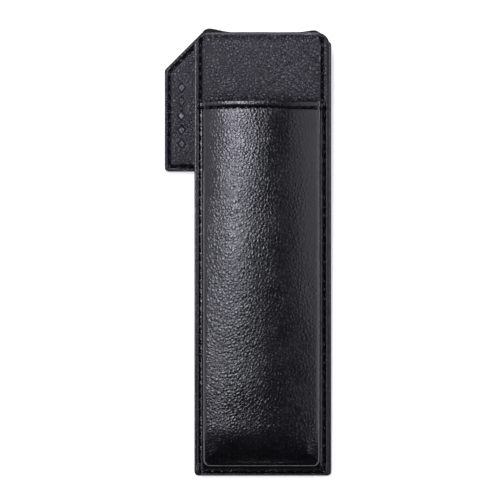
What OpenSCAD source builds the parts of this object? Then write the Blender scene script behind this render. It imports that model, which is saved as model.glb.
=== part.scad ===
// Leather sleeve for two fountain pens, with a magnetic clip flap that folds over the
// edge of a notebook's cover. It lies on its back: +X is to the right, +Y points to the
// open end and the flap's fold, and +Z comes out of the pocket's front.

/* [Sleeve] */
// Height from the lower end to the top of the fold
case_h = 165; // [155:1:180]
// Width of the sleeve's back
body_w = 50.5; // [48:0.5:56]
// Depth from the flap's outer face to the crown of the pocket
case_d = 20; // [18:0.5:24]
// How far the front layer's edge stands back from the back layer's
front_step = 0.8; // [0.6:0.1:1.2]
// Radius of the front layer's two upper corners
shoulder_r = 4.3; // [3:0.1:6]
// Cut across each upper corner of the back layer
corner_cut = 4.4; // [4:0.1:6]

/* [Pocket] */
// Height of the pocket's mouth above the lower end
mouth_h = 137.4; // [125:0.1:142]
// Width of the moulded pocket where it rises from its flange
pocket_w = 43; // [42:0.1:43.4]
// How much narrower the pocket is at its top
pocket_draft = 1; // [0.6:0.1:3]
// How far the pocket sits to the left of the sleeve's centre line
pocket_shift = 0.5; // [0:0.1:0.7]
// Rise of the pocket's crown above its long edges
crown = 2.4; // [0.6:0.1:3]
// Radius of the pocket's long edges
pocket_edge_r = 1.6; // [1.2:0.1:3]
// Length of the slope at the pocket's lower end
toe_l = 7; // [5:0.5:10]
// Height of the hem turned in at the mouth
hem_h = 5; // [4:0.5:7]
// Distance of the mouth's seam below the mouth
hem_seam = 2.6; // [2:0.1:3.4]

/* [Clip flap] */
// How far the flap's grip tab reaches past the sleeve's left edge
tab_w = 11; // [8:0.5:14]
// Height of the flap's lower edge above the lower end
flap_low_h = 112.1; // [100:0.1:120]
// Slanting cut at the tab's upper corner
tab_cut = 13.8; // [10:0.1:15]
// Width of the fold strap
strap_w = 40.5; // [36:0.5:42]
// Height of the middle of the tab's pressed row above the lower end
lozenge_h = 132.7; // [128:0.1:138]
// Distance from one pressed lozenge to the next
lozenge_step = 5.2; // [4.6:0.1:6]
// Width of a pressed lozenge
lozenge_w = 3.4; // [2:0.1:4]
// Length of a pressed lozenge
lozenge_l = 4.2; // [2:0.1:4.4]
// Depth of the pressing
press_d = 0.25; // [0.1:0.05:0.4]
// Free gap between the closed flap and the sleeve's back
clip_gap = 0.4; // [0.3:0.1:1]
// How far the fold strap sits to the left of the sleeve's centre line
strap_shift = 0.75; // [0:0.05:1]
// How far the pressed row sits to the right of the tab's middle
lozenge_shift = 0.8; // [0:0.1:1]
// Diameter of the magnets and of the steel discs they pull on
magnet_d = 14; // [10:1:16]
// Distance between the two magnets
magnet_gap = 26; // [20:1:30]
// Height of the magnets above the flap's lower edge
magnet_y = 14; // [12:0.5:24]

/* [Materials] */
// Outer leather of the back and the flap
leather_t = 1.0; // [0.8:0.1:1.2]
// Leather of the pocket and the upper panel
front_t = 1.2; // [1:0.1:1.4]
// Inner leather of the flap
inner_t = 0.8; // [0.6:0.1:1]
// Stiffening board
board_t = 0.8; // [0.6:0.1:1]
// Woven lining
lining_t = 0.5; // [0.4:0.1:0.6]
// Foam under the upper panel
foam_t = 1.6; // [1:0.1:2]
// Leather that is turned in at the mouth
hem_t = 0.9; // [0.6:0.1:1]

/* [Stitching] */
// Length from one stitch to the next
pitch = 3.4; // [3:0.1:4]
// Distance of the sleeve's seam from the front layer's edge
seam_in = 1.35; // [1.2:0.05:1.4]
// Distance of the flap's seam from the flap's edge
flap_seam_in = 2.1; // [1.8:0.1:2.4]
// Thickness of the thread
thread_d = 0.5; // [0.4:0.05:0.6]

/* [Hidden] */
slack = 0.1;          // play around a piece that lies in a recess
skim = 0.01;          // overlap that keeps a cut from ending on a face
past = 2;             // how far a cutter reaches past the mouth
hinge_gap = 0.3;      // clearance on both sides of a crease
strap_t = 1.2;        // both leathers of the fold strap
groove_d = 0.3;       // depth of the channel that a seam lies in on a front face
turned_up = 1.0;      // how far the back's edge stands up round the front layer
stitch_t = 0.4;       // height of a stitch, and depth of its channel on a back face
stitch_cover = 0.72;  // share of the pitch that one stitch covers
seam_w = thread_d + 0.2;
seam_end = 0.4;       // free length of a seam before each corner
front_low = 0.5;      // distance of the front layer's lower edge above the back's
flap_step = 0.5;      // how far the flap's right edge stands back
toe_low = 3.6;        // distance of the pocket's lower end above the sleeve's
pad_in = 1.2;         // distance of the padded part inside the sleeve's seam
foam_in = 2.4;        // distance of the foam inside the sleeve's seam
board_in = 1.7;       // distance of the back's board inside the sleeve's seam
foam_up = 1.6;        // distance of the foam above the mouth
tongue_l = 10;        // length of the tongue that is tucked into the pocket
pad_sink = 0.2;       // how far the foam is pressed together
rim_rise = 0.3;       // rise of the flap's rim above its two leathers
plateau_in = 0.7;     // distance of the flap's plateau inside its seam
flap_board_in = 1.4;  // distance of the flap's board inside its seam
arc_steps = 6;
leather_col = [0.07, 0.07, 0.085];
seam_col = [0.03, 0.03, 0.035];

// Heights, from the flap's outer face up to the pocket's crown.
flap_t = leather_t + board_t + inner_t;
z_back = flap_t + clip_gap;
z_board = z_back + leather_t;
z_lining = z_board + board_t;
z_front = z_lining + lining_t;
z_flange = z_front + front_t;
z_panel = z_front + foam_t + front_t - pad_sink;
z_flap_rim = leather_t + inner_t + rim_rise;
z_edge = case_d - crown;

// Places across and along the sleeve.
case_w = body_w + tab_w;
x_tab = -case_w / 2;
x_left = x_tab + tab_w;
x_right = case_w / 2;
x_mid = (x_left + x_right) / 2;
x_pocket = x_mid - pocket_shift;
y_low = -case_h / 2;
y_top = case_h / 2;
y_mouth = y_low + mouth_h;
y_flap = y_low + flap_low_h;
y_back_top = y_top - strap_t - hinge_gap;
y_front_top = y_back_top - hinge_gap;
y_toe = y_low + toe_low;

// The two creases of the fold, at the middle of the leather that bends there.
z_crease_flap = flap_t / 2;
z_crease_back = z_board + board_t / 2;
x_strap = x_mid - strap_shift - strap_w / 2;

// Corners of each outline, counter-clockwise, as [x, y, corner radius].
back_corners = [
    [x_left, y_low, 1.6], [x_right, y_low, 1.6],
    [x_right, y_back_top - corner_cut, 1.2], [x_right - corner_cut, y_back_top, 1],
    [x_left + corner_cut, y_back_top, 1], [x_left, y_back_top - corner_cut, 1.2]
];
front_corners = [
    [x_left + front_step, y_low + front_low, 1.4], [x_right - front_step, y_low + front_low, 1.4],
    [x_right - front_step, y_front_top, shoulder_r],
    [x_left + front_step, y_front_top, shoulder_r]
];
flap_right = x_right - flap_step;
flap_corners = [
    [x_tab, y_flap, 1.4], [flap_right, y_flap, 1.4],
    [flap_right, y_back_top - corner_cut, 1.2], [flap_right - corner_cut, y_back_top, 1],
    [x_tab + tab_cut, y_back_top, 1], [x_tab, y_back_top - tab_cut, 1.4]
];

// ---- Outlines ----

function place(c) = [c[0], c[1]];
function unit(v) = v / norm(v);
function inward(v) = [-v[1], v[0]];
function edge_normal(c, i) = inward(unit(place(c[(i + 1) % len(c)]) - place(c[i])));

// Corner i of an outline that is moved inwards by d.
function inset_corner(c, i, d) =
    let (a = edge_normal(c, (i + len(c) - 1) % len(c)), b = edge_normal(c, i))
    place(c[i]) + d / (1 + a * b) * (a + b);

// The rounded outline, moved inwards by d.
function outline(c, d) = [
    for (i = [0 : len(c) - 1])
        let (
            r = max(c[i][2] - d, 0.2),
            centre = inset_corner(c, i, d + r),
            a = edge_normal(c, (i + len(c) - 1) % len(c)),
            b = edge_normal(c, i),
            start = atan2(-a[1], -a[0]),
            turn = acos(a * b)
        )
        for (k = [0 : arc_steps])
            let (angle = start + turn * k / arc_steps)
            centre + r * [cos(angle), sin(angle)]
];

module plate(corners, inset, z, t)
    translate([0, 0, z]) linear_extrude(t) polygon(outline(corners, inset));

// A closed band along an outline, one seam wide, from height z up by t.
module seam_band(corners, inset, z, t)
    difference() {
        plate(corners, inset - seam_w / 2, z, t);
        plate(corners, inset + seam_w / 2, z - 1, t + 2);
    }

// Everything on one side of a line across the sleeve.
module half_space() cube([2 * case_w, 2 * case_h, 3 * case_d]);
module below(y) translate([-case_w, y - 2 * case_h, -case_d]) half_space();
module above(y) translate([-case_w, y, -case_d]) half_space();

// ---- Stitches ----

module stitch(length)
    linear_extrude(stitch_t)
        polygon([
            [-length / 2, 0], [thread_d / 2 - length / 2, -thread_d / 2],
            [length / 2 - thread_d / 2, -thread_d / 2], [length / 2, 0],
            [length / 2 - thread_d / 2, thread_d / 2], [thread_d / 2 - length / 2, thread_d / 2]
        ]);

// Stitches along every edge of an outline, with their undersides at height z.
module seam(corners, inset, z)
    for (i = [0 : len(corners) - 1])
        let (
            r = max(corners[i][2] - inset, 0),
            r_next = max(corners[(i + 1) % len(corners)][2] - inset, 0),
            from = inset_corner(corners, i, inset),
            to = inset_corner(corners, (i + 1) % len(corners), inset),
            along = unit(to - from),
            first = from + (r + seam_end) * along,
            last = to - (r_next + seam_end) * along,
            count = max(round(norm(last - first) / pitch), 1)
        )
        for (k = [0.5 : count - 0.5])
            translate(concat(first + (last - first) * k / count, z))
                rotate(atan2(along[1], along[0]))
                    stitch(norm(last - first) / count * stitch_cover);

// ---- Moulded pocket ----

// Height of the pocket's skin, t below its outer face, at a distance x from its middle.
flat_half = pocket_w / 2 - pocket_draft / 2 - pocket_edge_r;
function crown_z(x, t) = z_edge - t + crown * (1 - (x / flat_half) ^ 2);

// A point of the pocket's rounded long edge, seen from the middle of its radius.
function edge_offset(t, a) =
    let (r = max(pocket_edge_r - t, 0.2), d = pocket_edge_r - t - r)
    [d, d] + r * [cos(a), sin(a)];

// Right half of the pocket's cross-section, t inside its outer face.
function half_section(t) = concat(
    [[pocket_w / 2 - t, z_front]],
    [
        for (a = [0 : 15 : 90])
            [flat_half, z_edge - pocket_edge_r] + edge_offset(t, a)
    ],
    [
        for (k = [1 : 6])
            let (x = (flat_half + min(pocket_edge_r - t - 0.2, 0)) * (1 - k / 6))
            [x, crown_z(x, t)]
    ]
);
function section(t) =
    let (half = half_section(t), n = len(half))
    concat(half, [for (i = [n - 2 : -1 : 0]) [-half[i][0], half[i][1]]]);

// Side view of the pocket, t inside its outer face: a rounded slope, then straight.
function profile(t, y_end) = concat(
    [
        for (a = [0 : 10 : 90])
            [y_toe + toe_l - (toe_l - t) * cos(a), z_front + (case_d - z_front) * sin(a)]
    ],
    [[y_end, case_d], [y_end, z_front]]
);

module pocket_form(t, y_end)
    translate([x_pocket, 0, 0])
        intersection() {
            translate([0, y_mouth + 5, 0]) rotate([90, 0, 0])
                linear_extrude(case_h) polygon(section(t));
            translate([-pocket_w, 0, 0]) rotate([90, 0, 90])
                linear_extrude(2 * pocket_w) polygon(profile(t, y_end));
        }

// ---- Sleeve ----

// The back's leather, with its edge turned up round the front layer.
module back_cover()
    color(leather_col)
        difference() {
            plate(back_corners, 0, z_back, leather_t + turned_up);
            plate(front_corners, -slack, z_board, 2 * turned_up);
            seam_band(back_corners, seam_in + front_step, z_back - 1, 1 + stitch_t);
        }

module back_stiffener()
    color([0.25, 0.24, 0.22])
        difference() {
            plate(front_corners, seam_in + board_in, z_board, board_t);
            magnet_pair(z_board - 1, board_t + 2, magnet_d / 2 + slack);
        }

// Two round discs side by side behind the upper panel's lower half.
module magnet_pair(z, t, r)
    for (side = [-1, 1])
        translate([x_mid + side * magnet_gap / 2, y_flap + magnet_y, z])
            cylinder(r = r, h = t, $fn = 64);

module steel_discs() color([0.6, 0.6, 0.62]) magnet_pair(z_board, board_t, magnet_d / 2);

module back_lining()
    color([0.1, 0.1, 0.11])
        difference() {
            plate(front_corners, 0, z_board, board_t + lining_t);
            plate(front_corners, seam_in + board_in - slack, z_board - 1, 1 + board_t);
        }

module panel_foam()
    color([0.3, 0.3, 0.32])
        intersection() {
            plate(front_corners, seam_in + foam_in, z_front, foam_t);
            above(y_mouth + foam_up);
        }

// The padded panel above the mouth, with a tongue that is tucked into the pocket.
module upper_panel()
    color(leather_col)
        difference() {
            union() {
                intersection() {
                    union() {
                        plate(front_corners, 0, z_front, front_t);
                        plate(front_corners, seam_in + pad_in, z_front, z_panel - z_front);
                    }
                    above(y_mouth + slack);
                }
                translate([x_pocket - flat_half, y_mouth - tongue_l, z_front])
                    cube([2 * flat_half, tongue_l + 2 * slack, front_t - pad_sink]);
            }
            intersection() {
                plate(front_corners, seam_in + foam_in - slack, z_front - 1, 1 + foam_t);
                above(y_mouth + foam_up - slack);
            }
            seam_band(front_corners, seam_in, z_flange - groove_d, 1);
        }

module pocket_front()
    color(leather_col)
        difference() {
            union() {
                intersection() {
                    plate(front_corners, 0, z_front, front_t);
                    below(y_mouth);
                }
                pocket_form(0, y_mouth);
            }
            translate([0, 0, -skim]) pocket_form(front_t, y_mouth + past);
            translate([0, 0, -skim - front_t / 2]) pocket_form(front_t, y_mouth + past);
            difference() {
                seam_band(front_corners, seam_in, z_flange - groove_d, 1);
                pocket_form(0, y_mouth + past);
            }
            mouth_channel();
        }

// The channel of the mouth's seam, across the pocket's crown.
module mouth_channel()
    intersection() {
        difference() {
            translate([0, 0, 1]) pocket_form(0, y_mouth + past);
            translate([0, 0, -stitch_t - slack]) pocket_form(0, y_mouth + past);
        }
        translate([x_pocket - flat_half, y_mouth - hem_seam - seam_w / 2, z_edge - 1])
            cube([2 * flat_half, seam_w, 5]);
    }

module pocket_lining()
    color([0.1, 0.1, 0.11])
        difference() {
            pocket_form(front_t + skim, y_mouth - hem_h - slack);
            translate([0, 0, -skim]) pocket_form(front_t + lining_t, y_mouth);
            translate([0, 0, -1]) pocket_form(front_t + lining_t, y_mouth);
        }

module mouth_hem()
    color(leather_col)
        intersection() {
            difference() {
                pocket_form(front_t + skim, y_mouth);
                translate([0, 0, -skim]) pocket_form(front_t + hem_t, y_mouth + past);
                translate([0, 0, -1]) pocket_form(front_t + hem_t, y_mouth + past);
            }
            above(y_mouth - hem_h);
        }

module edge_stitching()
    color(seam_col) {
        seam(front_corners, seam_in, z_flange - groove_d);
        seam(back_corners, seam_in + front_step, z_back);
    }

module mouth_stitching()
    color(seam_col) {
        count = floor(2 * (flat_half - seam_end) / pitch);
        for (k = [0.5 : count - 0.5]) {
            x = (k - count / 2) * pitch;
            slope = atan2(-2 * crown * x, flat_half ^ 2);
            translate([x_pocket + x, y_mouth - hem_seam, crown_z(x, stitch_t)])
                rotate([0, -slope, 0]) stitch(pitch * stitch_cover);
        }
    }

// ---- Fold strap ----

module strap_layer(y, t)
    translate([x_strap, y, z_crease_flap + hinge_gap])
        cube([strap_w, t, z_crease_back - z_crease_flap - 2 * hinge_gap]);

module fold_strap() color(leather_col) strap_layer(y_top - strap_t * 0.6, strap_t * 0.6);

module fold_strap_lining() color(leather_col) strap_layer(y_top - strap_t, strap_t * 0.4);

// ---- Clip flap ----

module flap_outer_leather()
    color(leather_col)
        difference() {
            plate(flap_corners, 0, 0, leather_t);
            seam_band(flap_corners, flap_seam_in, -1, 1 + stitch_t);
        }

module flap_stiffener()
    color([0.25, 0.24, 0.22])
        difference() {
            plate(flap_corners, flap_seam_in + flap_board_in, leather_t, board_t);
            magnet_pair(leather_t - 1, board_t + 2, magnet_d / 2 + slack);
        }

module flap_magnets() color([0.7, 0.7, 0.72]) magnet_pair(leather_t, board_t, magnet_d / 2);

// The leather that faces the sleeve's back, with a row of pressed lozenges on the grip tab.
module flap_inner_leather()
    color(leather_col)
        difference() {
            union() {
                plate(flap_corners, 0, leather_t, z_flap_rim - leather_t);
                plate(flap_corners, flap_seam_in + plateau_in, leather_t, board_t + inner_t);
            }
            plate(flap_corners, flap_seam_in + flap_board_in - slack, leather_t - 1, 1 + board_t);
            seam_band(flap_corners, flap_seam_in, z_flap_rim - groove_d, 2);
            pressed_lozenges();
        }

module pressed_lozenges()
    for (k = [-2 : 2])
        translate([
            x_tab + tab_w / 2 + lozenge_shift,
            y_low + lozenge_h + k * lozenge_step,
            flap_t - press_d
        ])
            linear_extrude(1)
                polygon([
                    [-lozenge_w / 2, 0], [0, -lozenge_l / 2],
                    [lozenge_w / 2, 0], [0, lozenge_l / 2]
                ]);

module flap_stitching()
    color(seam_col) {
        seam(flap_corners, flap_seam_in, z_flap_rim - groove_d);
        seam(flap_corners, flap_seam_in, 0);
    }

back_cover();
back_stiffener();
steel_discs();
back_lining();
panel_foam();
upper_panel();
pocket_front();
pocket_lining();
mouth_hem();
edge_stitching();
mouth_stitching();
fold_strap();
fold_strap_lining();
flap_outer_leather();
flap_stiffener();
flap_magnets();
flap_inner_leather();
flap_stitching();
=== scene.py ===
"""Looks of a leather sleeve for fountain pens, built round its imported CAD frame.

The sleeve lies on its back: +X is to the right, +Y points to its open end, +Z comes out of
the pocket's front. All sizes are in metres.
"""

import logging
import math
from collections.abc import Callable, Iterable, Sequence
from dataclasses import dataclass
from enum import Enum

import bmesh
import bpy
from mathutils import Matrix, Vector, noise


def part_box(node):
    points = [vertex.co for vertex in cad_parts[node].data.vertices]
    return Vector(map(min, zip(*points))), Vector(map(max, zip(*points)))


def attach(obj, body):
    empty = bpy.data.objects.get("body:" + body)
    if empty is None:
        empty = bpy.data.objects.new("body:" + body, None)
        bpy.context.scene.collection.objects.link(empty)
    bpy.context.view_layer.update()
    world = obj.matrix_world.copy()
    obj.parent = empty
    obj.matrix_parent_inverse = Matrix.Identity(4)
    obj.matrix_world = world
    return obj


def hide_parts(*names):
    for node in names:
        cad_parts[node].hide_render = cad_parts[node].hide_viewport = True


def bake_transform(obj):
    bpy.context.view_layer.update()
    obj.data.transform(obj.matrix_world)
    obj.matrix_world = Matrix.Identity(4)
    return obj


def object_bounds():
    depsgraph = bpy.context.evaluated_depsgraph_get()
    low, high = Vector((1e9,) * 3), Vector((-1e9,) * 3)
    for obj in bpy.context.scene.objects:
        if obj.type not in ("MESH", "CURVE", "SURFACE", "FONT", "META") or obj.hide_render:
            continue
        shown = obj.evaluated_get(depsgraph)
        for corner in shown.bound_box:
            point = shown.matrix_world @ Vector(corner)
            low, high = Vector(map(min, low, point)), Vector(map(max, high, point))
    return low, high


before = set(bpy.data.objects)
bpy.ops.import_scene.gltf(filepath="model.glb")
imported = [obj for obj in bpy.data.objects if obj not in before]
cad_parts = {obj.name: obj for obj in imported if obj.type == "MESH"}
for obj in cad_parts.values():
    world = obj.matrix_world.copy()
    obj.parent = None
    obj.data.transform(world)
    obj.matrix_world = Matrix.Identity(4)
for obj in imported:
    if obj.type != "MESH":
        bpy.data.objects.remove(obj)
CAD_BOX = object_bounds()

log = logging.getLogger("pen_case")
MM = 0.001
ARC_STEPS = 6
ACROSS, ALONG, UP = Vector((1, 0, 0)), Vector((0, 1, 0)), Vector((0, 0, 1))


class Body(Enum):
    """The rigid bodies of the case."""

    SLEEVE = "sleeve"
    STRAP = "strap"
    FLAP = "flap"


class Slot(Enum):
    """The material slots of the record."""

    SMOOTH = "leather"
    GRAINED = "grained_leather"
    LINING = "lining"
    FOAM = "foam"
    BOARD = "board"
    STEEL = "steel"
    MAGNET = "magnet"
    THREAD = "thread"


class Kind(Enum):
    """What edit mode picks."""

    CORNERS = "VERT"
    EDGES = "EDGE"
    FACES = "FACE"


# ---- Modelling bench ----


def make_active(piece: bpy.types.Object) -> None:
    """Makes one object the only one selected, and the active one.

    Args:
        piece: The object to work on.
    """
    bpy.ops.object.select_all(action="DESELECT")
    piece.select_set(True)
    bpy.context.view_layer.objects.active = piece


class Bench:
    """A mesh open in edit mode, whose parts are picked by their place."""

    def __init__(self, piece: bpy.types.Object) -> None:
        """Keeps the piece that is worked on."""
        self.piece = piece

    def __enter__(self) -> "Bench":
        """Opens edit mode, with corners to be picked.

        Returns:
            The bench itself.
        """
        make_active(self.piece)
        bpy.ops.object.mode_set(mode="EDIT")
        bpy.ops.mesh.select_mode(type=Kind.CORNERS.value)
        return self

    def __exit__(self, *_: object) -> None:
        """Goes back to object mode."""
        bpy.ops.object.mode_set(mode="OBJECT")

    def pick(self, kind: Kind, test: Callable[[Vector], bool]) -> int:
        """Selects the corners, edges or faces whose middle passes a test.

        Args:
            kind: Which parts are tested.
            test: Takes the middle of a part.

        Returns:
            How many parts were selected.
        """
        bpy.ops.mesh.select_mode(type=kind.value)
        bpy.ops.mesh.select_all(action="DESELECT")
        mesh = bmesh.from_edit_mesh(self.piece.data)
        parts = {Kind.CORNERS: mesh.verts, Kind.EDGES: mesh.edges, Kind.FACES: mesh.faces}[kind]
        found = 0
        for part in parts:
            if kind is Kind.CORNERS:
                middle = part.co
            else:
                middle = sum((v.co for v in part.verts), Vector()) / len(part.verts)
            if test(middle):
                part.select_set(True)
                found += 1
        mesh.select_flush_mode()
        bmesh.update_edit_mesh(self.piece.data)
        return found

    def shape(self, move: Callable[[Vector], Vector]) -> None:
        """Moves every corner by a rule.

        Args:
            move: Takes a corner's place and gives its new place.
        """
        mesh = bmesh.from_edit_mesh(self.piece.data)
        for corner in mesh.verts:
            corner.co = move(corner.co.copy())
        bmesh.update_edit_mesh(self.piece.data)

    def slice(self, axis: Vector, places: Iterable[float]) -> None:
        """Cuts the mesh along planes square to an axis.

        Args:
            axis: The planes' normal.
            places: Where the planes cross the axis.
        """
        for place in places:
            bpy.ops.mesh.select_all(action="SELECT")
            bpy.ops.mesh.bisect(plane_co=axis * place, plane_no=axis, threshold=1e-6)

    def cut_off(self, point: Vector, normal: Vector, fill: bool = False) -> None:
        """Removes everything in front of a plane.

        Args:
            point: A point of the plane.
            normal: The plane's normal, towards what goes.
            fill: Whether the cut is closed with a face.
        """
        bpy.ops.mesh.select_all(action="SELECT")
        bpy.ops.mesh.bisect(
            plane_co=point, plane_no=normal, clear_outer=True, use_fill=fill, threshold=1e-6
        )

    def turn_if(self, test: Callable[[bmesh.types.BMFace], float]) -> None:
        """Flips all faces if most of them look the wrong way.

        Args:
            test: Takes a face and gives how far it looks the right way, below 0 if it doesn't.
        """
        mesh = bmesh.from_edit_mesh(self.piece.data)
        mesh.normal_update()
        if sum(test(face) * face.calc_area() for face in mesh.faces) < 0:
            bpy.ops.mesh.select_all(action="SELECT")
            bpy.ops.mesh.flip_normals()

    def turn(self, up: bool) -> None:
        """Makes an open skin look up or down."""
        self.turn_if(lambda face: face.normal.z if up else -face.normal.z)

    def face_away(self, middle: Vector) -> None:
        """Makes an open skin look away from a place."""
        self.turn_if(lambda face: face.normal.dot(face.calc_center_median() - middle))

    def turn_out(self) -> None:
        """Merges doubles and turns a closed shape's faces outwards."""
        bpy.ops.mesh.select_all(action="SELECT")
        bpy.ops.mesh.remove_doubles(threshold=2e-6)
        bpy.ops.mesh.normals_make_consistent(inside=False)


def start_piece(name: str, add: Callable[..., object], **settings: object) -> bpy.types.Object:
    """Adds a primitive and names it.

    Args:
        name: The object's name.
        add: The operator that adds it.
        settings: The operator's settings.

    Returns:
        The new object, active and selected.
    """
    bpy.ops.object.select_all(action="DESELECT")
    add(**settings)
    piece = bpy.context.active_object
    piece.name = name
    piece.data.name = name
    return piece


def apply_modifier(piece: bpy.types.Object, kind: str, **settings: object) -> None:
    """Adds a modifier with its settings and applies it.

    Args:
        piece: The object that gets it.
        kind: The modifier's type.
        settings: Values of its properties.
    """
    make_active(piece)
    modifier = piece.modifiers.new(kind.lower(), kind)
    for name, value in settings.items():
        setattr(modifier, name, value)
    bpy.ops.object.modifier_apply(modifier=modifier.name)


def thicken(piece: bpy.types.Object, thickness: float) -> None:
    """Gives a skin its thickness, behind its outer face.

    Args:
        piece: The skin.
        thickness: How thick it becomes.
    """
    apply_modifier(piece, "SOLIDIFY", thickness=thickness, offset=-1.0, use_even_offset=False)


def smooth(piece: bpy.types.Object, levels: int) -> None:
    """Subdivides a piece smoothly.

    Args:
        piece: The object.
        levels: How many times.
    """
    apply_modifier(piece, "SUBSURF", levels=levels, render_levels=levels)
    make_active(piece)
    bpy.ops.object.shade_smooth()


def join(pieces: Sequence[bpy.types.Object], name: str) -> bpy.types.Object:
    """Joins several objects into one.

    Args:
        pieces: The objects; the first one stays.
        name: The name of the result.

    Returns:
        The joined object.
    """
    bpy.ops.object.select_all(action="DESELECT")
    for piece in pieces:
        piece.select_set(True)
    bpy.context.view_layer.objects.active = pieces[0]
    bpy.ops.object.join()
    joined = bpy.context.view_layer.objects.active
    joined.name = name
    joined.data.name = name
    return joined


def ease(low: float, high: float, value: float) -> float:
    """Goes smoothly from 0 at low to 1 at high.

    Args:
        low: Where it starts to rise.
        high: Where it is 1.
        value: Where it is read.

    Returns:
        A share from 0 to 1.
    """
    share = min(max((value - low) / (high - low), 0.0), 1.0)
    return share * share * (3 - 2 * share)


def drift(place: Vector, wavelength: float, seed: float = 0.0) -> float:
    """A slow, smooth unevenness, as in hand-worked leather.

    Args:
        place: Where it is read.
        wavelength: Distance from one rise to the next.
        seed: Picks another pattern.

    Returns:
        A value from about -1 to 1.
    """
    return noise.noise(place / wavelength + Vector((seed, 2 * seed, 0.5)))


# ---- Outlines ----


@dataclass(frozen=True)
class Corner:
    """One corner of an outline, with its radius."""

    x: float
    y: float
    radius: float

    @property
    def place(self) -> Vector:
        """The sharp corner's place."""
        return Vector((self.x, self.y))


@dataclass(frozen=True)
class Outline:
    """A closed outline with rounded corners, counter-clockwise."""

    corners: tuple[Corner, ...]

    def side_normal(self, index: int) -> Vector:
        """Inward normal of the side that starts at a corner.

        Args:
            index: The number of that corner.

        Returns:
            The normal, one long.
        """
        ends = self.corners[index % len(self.corners)], self.corners[(index + 1) % len(self.corners)]
        along = (ends[1].place - ends[0].place).normalized()
        return Vector((-along.y, along.x))

    def moved_corner(self, index: int, inset: float) -> Vector:
        """The sharp corner of the outline moved inwards by inset."""
        before, after = self.side_normal(index - 1), self.side_normal(index)
        return self.corners[index].place + (before + after) * (inset / (1 + before.dot(after)))

    def points(self, inset: float, height: float, steps: int = ARC_STEPS) -> list[Vector]:
        """The rounded outline as points.

        Args:
            inset: How far it is moved inwards.
            height: The points' height.
            steps: Points per corner, less one.

        Returns:
            The points, counter-clockwise.
        """
        found = []
        for index, corner in enumerate(self.corners):
            before, after = self.side_normal(index - 1), self.side_normal(index)
            radius = max(corner.radius - inset, 0.15 * MM)
            centre = self.moved_corner(index, inset + radius)
            start = math.atan2(-before.y, -before.x)
            turn = math.acos(max(-1.0, min(1.0, before.dot(after))))
            for step in range(steps + 1):
                angle = start + turn * step / steps
                spot = centre + radius * Vector((math.cos(angle), math.sin(angle)))
                found.append(Vector((spot.x, spot.y, height)))
        return found


def rectangle(low: Vector, high: Vector, radii: Sequence[float]) -> Outline:
    """A rounded rectangle.

    Args:
        low: Its lower left corner.
        high: Its upper right corner.
        radii: Radii of the lower left, lower right, upper right and upper left corners.

    Returns:
        The outline.
    """
    places = ((low.x, low.y), (high.x, low.y), (high.x, high.y), (low.x, high.y))
    return Outline(tuple(Corner(x, y, r) for (x, y), r in zip(places, radii)))


def ring_skin(name: str, rings: Sequence[Sequence[Vector]]) -> bpy.types.Object:
    """A skin that goes inwards from ring to ring and is closed by one face.

    Args:
        name: The object's name.
        rings: Rings of equally many points, from the edge inwards.

    Returns:
        The object, with its faces towards +Z.
    """
    skin = start_piece(name, bpy.ops.mesh.primitive_circle_add, vertices=len(rings[0]), radius=1.0)
    for corner, place in zip(skin.data.vertices, rings[0]):
        corner.co = place
    with Bench(skin):
        bpy.ops.mesh.select_all(action="SELECT")
        for outer, inner in zip(rings, rings[1:]):
            bpy.ops.mesh.extrude_region_move(TRANSFORM_OT_translate={"value": (0, 0, 0)})
            mesh = bmesh.from_edit_mesh(skin.data)
            for corner in mesh.verts:
                if corner.select:
                    nearest = min(range(len(outer)), key=lambda k: (outer[k] - corner.co).length)
                    corner.co = inner[nearest]
            bmesh.update_edit_mesh(skin.data)
        bpy.ops.mesh.edge_face_add()
    return skin


def steps_between(low: float, high: float, pitch: float) -> list[float]:
    """Evenly spaced places strictly between two limits.

    Args:
        low: The lower limit.
        high: The upper limit.
        pitch: About how far apart they are.

    Returns:
        The places.
    """
    count = max(round((high - low) / pitch), 1)
    return [low + (high - low) * k / count for k in range(1, count)]


# ---- Material groups ----


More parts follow.
